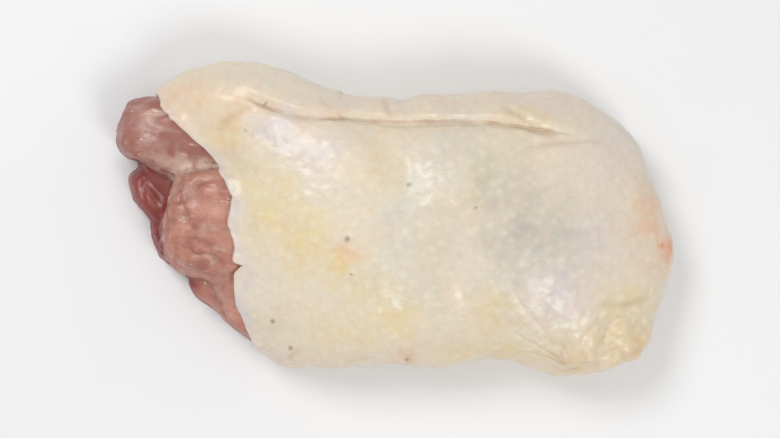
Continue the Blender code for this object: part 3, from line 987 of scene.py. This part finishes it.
class Nodes:
    """A material's node tree, with a short way to add and join nodes."""

    def __init__(self, name):
        self.material = bpy.data.materials.new(name)
        self.material.use_nodes = True
        self.tree = self.material.node_tree
        self.shader = self.tree.nodes["Principled BSDF"]

    def put(self, value, socket):
        """Joins a socket to another one, or gives it a value."""
        if isinstance(value, bpy.types.NodeSocket):
            self.tree.links.new(value, socket)
        else:
            socket.default_value = value

    def node(self, kind, settings=(), **inputs):
        """A new node with its settings and inputs."""
        made = self.tree.nodes.new(kind)
        for key, value in dict(settings).items():
            setattr(made, key, value)
        for key, value in inputs.items():
            self.put(value, made.inputs[key.replace("_", " ")])
        return made

    def field(self, name, output="Fac"):
        """The number that the mesh keeps at each point under a name, or with Vector the place."""
        return self.node("ShaderNodeAttribute", {"attribute_name": name}).outputs[output]

    def position(self):
        return self.node("ShaderNodeTexCoord").outputs["Object"]

    def noise(self, vector, size, detail, roughness):
        """Noise from 0 to 1 whose coarsest bumps are about size across."""
        scale = 1 / (size * MM)
        settings = {"Scale": scale, "Detail": detail, "Roughness": roughness}
        return self.node("ShaderNodeTexNoise", Vector=vector, **settings).outputs["Fac"]

    def cells(self, vector, size, feature="F1"):
        """How far each point is from its cell's middle, for cells about size across."""
        scale = 1 / (size * MM)
        made = self.node("ShaderNodeTexVoronoi", {"feature": feature}, Vector=vector, Scale=scale)
        return made.outputs["Distance"]

    def maths(self, operation, a, b=0.0):
        """A sum, product or the like of a and b."""
        made = self.node("ShaderNodeMath", {"operation": operation})
        self.put(a, made.inputs[0])
        self.put(b, made.inputs[1])
        return made.outputs[0]

    def spread(self, value, low, high, to_low=0.0, to_high=1.0):
        """A value that goes smoothly from to_low at low to to_high at high."""
        made = self.node("ShaderNodeMapRange", {"interpolation_type": "SMOOTHSTEP"}, Value=value)
        for key, number in (("From Min", low), ("From Max", high), ("To Min", to_low), ("To Max", to_high)):
            made.inputs[key].default_value = number
        return made.outputs["Result"]

    def blend(self, share, a, b):
        """Colour a, mixed towards colour b by a share from 0 to 1."""
        first_colour, second_colour, mixed_colour = 6, 7, 2
        made = self.node("ShaderNodeMix", {"data_type": "RGBA"}, Factor=share)
        self.put(a, made.inputs[first_colour])
        self.put(b, made.inputs[second_colour])
        return made.outputs[mixed_colour]

    def tinted(self, colour, layers):
        """A colour with layers laid over it, each a mask or field, its strength and its shade."""
        for mask, strength, shade in layers:
            mask = self.field(mask) if isinstance(mask, str) else mask
            colour = self.blend(self.maths("MULTIPLY", mask, strength), colour, srgb(*shade))
        return colour

    def stretched(self, vector, scale):
        """A place with its axes scaled."""
        made = self.node("ShaderNodeVectorMath", {"operation": "MULTIPLY"})
        self.put(vector, made.inputs[0])
        made.inputs[1].default_value = scale
        return made.outputs["Vector"]

    def warped(self, vector, size, amount):
        """A place moved aside by noise, by up to about amount."""
        noise = self.node("ShaderNodeTexNoise", Vector=vector, Scale=1 / (size * MM), Detail=1.0)
        moved = self.node("ShaderNodeVectorMath", {"operation": "MULTIPLY_ADD"})
        self.put(noise.outputs["Color"], moved.inputs[0])
        moved.inputs[1].default_value = (amount * MM,) * 3
        self.put(vector, moved.inputs[2])
        return moved.outputs["Vector"]

    def bump(self, height, distance, strength, normal=None):
        """A normal that shows fine relief, on top of that of an earlier one."""
        made = self.node("ShaderNodeBump", Height=height, Distance=distance * MM, Strength=strength)
        if normal is not None:
            self.put(normal, made.inputs["Normal"])
        return made.outputs["Normal"]

    def wet(self, mottled, gloss):
        """A moist surface: its roughness, the light that goes into it, and a wet coat."""
        rough, share, spread_of_colours, depth, coat = gloss
        self.put(self.spread(mottled, 0.3, 0.7, *rough), self.shader.inputs["Roughness"])
        for name, value in (
            ("Subsurface Weight", share), ("Subsurface Radius", spread_of_colours),
            ("Subsurface Scale", depth * MM), ("Specular IOR Level", 0.5),
            ("Coat Weight", coat), ("Coat Roughness", 0.20),
        ):
            self.shader.inputs[name].default_value = value


def skin_colour(n, place, patchy):
    """The skin's colour: fat and meat that show through it, then its own fine unevenness and painted
    highlights on the follicles.
    """
    broad = n.noise(place, 14.0, 4.0, 0.6)
    streaky = n.noise(n.stretched(place, (1.0, 0.35, 1.0)), 3.0, 3.0, 0.6)
    fine = n.noise(place, 0.8, 3.0, 0.6)
    uneven = n.spread(patchy, 0.36, 0.64, 0.55, 1.0)
    grey = n.maths("MULTIPLY", n.field("grey"), n.spread(patchy, 0.3, 0.7, 0.6, 1.0))
    lobules = n.spread(n.cells(n.warped(place, 2.5, 1.6), 3.2), 0.30, 0.75)
    blotches = n.spread(n.noise(place, 2.2, 3.0, 0.6), 0.48, 0.70)
    rosy = n.spread(n.noise(place, 7.0, 4.0, 0.65), 0.55, 0.75)
    pores = n.spread(n.field("pimples"), 0.80, 0.97)
    colour = n.blend(n.spread(broad, 0.35, 0.65), srgb(226, 216, 196), srgb(228, 213, 192))
    return n.tinted(colour, (
        ("yellow", uneven, (229, 204, 140)),
        ("green", 0.85, (201, 198, 164)),
        (grey, 0.92, (183, 179, 169)),
        ("pale", n.spread(streaky, 0.35, 0.65, 0.35, 0.85), (209, 206, 193)),
        ("lavender", 0.90, (209, 199, 206)),
        ("peach", uneven, (232, 198, 166)),
        ("lumps", 0.8, (222, 200, 160)),
        ("orange", uneven, (226, 148, 102)),
        (lobules, 0.20, (226, 218, 204)),
        (blotches, 0.16, (208, 180, 148)),
        (rosy, 0.20, (226, 192, 178)),
        # Painted highlight: the follicle bumps made lighter, as their lit tops look
        ("pimples", 0.45, (238, 227, 203)),
        (pores, n.spread(patchy, 0.4, 0.6, 0.05, 0.40), (198, 166, 134)),
        (n.spread(fine, 0.35, 0.7), 0.10, (196, 172, 150)),
    ))


def skin_lines(n, patchy):
    """Where the line in the fold and the fine lines of the fan are, for painted shade and a sunken bump."""
    line = n.spread(n.maths("ABSOLUTE", n.field("fold_side")), 0.0, 0.6, 1.0, 0.0)
    line = n.maths("MULTIPLY", line, n.field("fold"))
    fan = n.node("ShaderNodeCombineXYZ", X=n.field("drawn_across"), Y=n.field("drawn_along"))
    radial = n.node("ShaderNodeTexNoise", Vector=fan.outputs["Vector"], Scale=1.0, Detail=1.5)
    radial = n.maths("ABSOLUTE", n.maths("SUBTRACT", radial.outputs["Fac"], 0.5))
    radial = n.maths("MULTIPLY", n.spread(radial, 0.0, 0.05, 1.0, 0.0), n.field("drawn"))
    return n.maths("MAXIMUM", line, n.maths("MULTIPLY", radial, n.spread(patchy, 0.35, 0.6, 0.05, 0.28)))


def skin_material():
    n = Nodes("chicken_skin")
    place = n.position()
    patchy = n.noise(place, 4.5, 4.0, 0.62)
    line = skin_lines(n, patchy)
    colour = n.tinted(skin_colour(n, place, patchy), (
        # Painted shade: a tan band round the far edge's fold
        ("fold", n.spread(patchy, 0.35, 0.6, 0.05, 0.35), (226, 190, 156)),
        # Painted shade in the creases and between the fat lumps
        ("crease", 0.40, (196, 156, 120)),
        # Painted shade in the fold's line and in the fan's wrinkles
        (line, 0.50, (196, 152, 118)),
        ("inside", 0.8, (226, 206, 176)),
        ("spots", 0.62, (122, 92, 78)),
    ))
    n.put(colour, n.shader.inputs["Base Color"])
    n.wet(patchy, SKIN_GLOSS)
    wrinkled = n.cells(n.warped(n.stretched(place, (1.0, 1.7, 1.0)), 1.5, 0.5), 1.3, "SMOOTH_F1")
    normal = n.bump(wrinkled, 0.22, 0.35)
    normal = n.bump(n.noise(place, 0.5, 3.0, 0.6), 0.10, 0.40, normal)
    normal = n.bump(n.maths("MULTIPLY", line, -1.0), 0.45, 0.8, normal)
    n.put(normal, n.shader.inputs["Normal"])
    return n.material


def meat_material():
    n = Nodes("chicken_meat")
    place, grain = n.position(), n.field("grain", "Vector")
    strands = n.noise(n.warped(n.stretched(grain, (0.10, 1.0, 1.0)), 3.0, 0.5), 0.9, 3.0, 0.6)
    bundles = n.noise(n.warped(n.stretched(grain, (0.22, 1.0, 1.0)), 6.0, 1.2), 4.5, 3.0, 0.55)
    broad = n.noise(place, 11.0, 3.0, 0.55)
    mottled = n.noise(place, 3.0, 4.0, 0.6)
    patchy = n.noise(place, 8.0, 2.0, 0.5)
    flecks = n.spread(n.noise(n.stretched(grain, (0.4, 1.0, 1.0)), 1.6, 2.0, 0.5), 0.66, 0.74)
    colour = n.blend(n.spread(broad, 0.35, 0.65), srgb(209, 155, 135), srgb(196, 137, 118))
    colour = n.tinted(colour, (
        # Painted shade: the upper muscle darkened all over
        ("upper", 0.88, (150, 98, 90)),
        (n.spread(bundles, 0.42, 0.72), 0.50, (204, 157, 136)),
        (n.spread(bundles, 0.46, 0.26), 0.45, (160, 94, 84)),
        (n.spread(mottled, 0.50, 0.75), 0.35, (196, 128, 112)),
        (n.spread(strands, 0.54, 0.76), 0.32, (216, 178, 156)),
        (n.spread(strands, 0.46, 0.28), 0.34, (152, 88, 78)),
        # Painted shade: darker low down and on the lower flaps
        ("low", 0.86, (138, 72, 64)),
        # In the grooves: painted shade, then the pale tissue that lies in them
        ("groove", n.spread(patchy, 0.4, 0.55, 0.15, 0.60), (146, 80, 72)),
        ("groove", n.spread(patchy, 0.55, 0.45, 0.0, 0.55), (222, 198, 178)),
        # Painted shade in the seams between the muscles
        ("seam", n.spread(mottled, 0.4, 0.6, 0.2, 0.6), (150, 86, 76)),
        (flecks, 0.5, (228, 206, 186)),
        ("membrane", n.spread(mottled, 0.36, 0.62, 0.25, 0.85), (224, 200, 180)),
        ("gash", n.spread(mottled, 0.3, 0.6, 0.80, 1.0), (132, 27, 27)),
    ))
    n.put(colour, n.shader.inputs["Base Color"])
    n.wet(mottled, MEAT_GLOSS)
    normal = n.bump(strands, 0.30, 0.6)
    normal = n.bump(n.noise(place, 0.9, 3.0, 0.6), 0.14, 0.35, normal)
    n.put(normal, n.shader.inputs["Normal"])
    return n.material


def floor_material():
    n = Nodes("floor")
    cloudy = n.noise(n.position(), 40.0, 2.0, 0.5)
    n.put(n.blend(cloudy, srgb(239, 239, 239), srgb(236, 236, 237)), n.shader.inputs["Base Color"])
    n.shader.inputs["Roughness"].default_value = 0.6
    return n.material


# The studio


def make_floor():
    corners = np.array([(-1, -1, 0), (1, -1, 0), (1, 1, 0), (-1, 1, 0)], float) * FLOOR_REACH
    floor = new_mesh("floor", corners, [(0, 1, 2, 3)])
    floor.data.materials.append(floor_material())


def make_area_light(name, place, size, power):
    """A round soft light that faces the thigh."""
    light = bpy.data.lights.new(name, "AREA")
    light.shape = "DISK"
    light.size = size * MM
    light.energy = power
    made = new_object(name, light, place)
    made.rotation_euler = (Vector(place) - Vector(LIT_PLACE)).to_track_quat("Z", "Y").to_euler()


def make_studio():
    scene = bpy.context.scene
    world = bpy.data.worlds.new("studio")
    scene.world = world
    world.use_nodes = True
    background = world.node_tree.nodes["Background"]
    background.inputs["Color"].default_value = (1.0, 1.0, 1.0, 1.0)
    background.inputs["Strength"].default_value = LIGHT_ALL_ROUND
    for light in LIGHTS:
        make_area_light(*light)
    scene.view_settings.view_transform = "Standard"


def make_camera():
    """Looks straight down, as the photograph does."""
    camera = new_object("camera", bpy.data.cameras.new("camera"), CAMERA_PLACE)
    camera.data.lens = CAMERA_LENS
    camera.data.sensor_width = CAMERA_SENSOR
    bpy.context.scene.camera = camera


def main():
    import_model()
    make_camera()
    meat = make_meat()
    skin = make_skin(meat)
    both = np.concatenate([points_of(skin.data), points_of(meat.data)])
    middle = (both.max(axis=0) + both.min(axis=0)) / 2 * MM
    for piece, material in ((meat, meat_material()), (skin, skin_material())):
        piece.data.transform(Matrix.Translation((-middle[0], -middle[1], 0)))
        piece.data.materials.append(material)
        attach(piece, "root")
        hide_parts("chicken_thigh")
    make_floor()
    make_studio()


main()
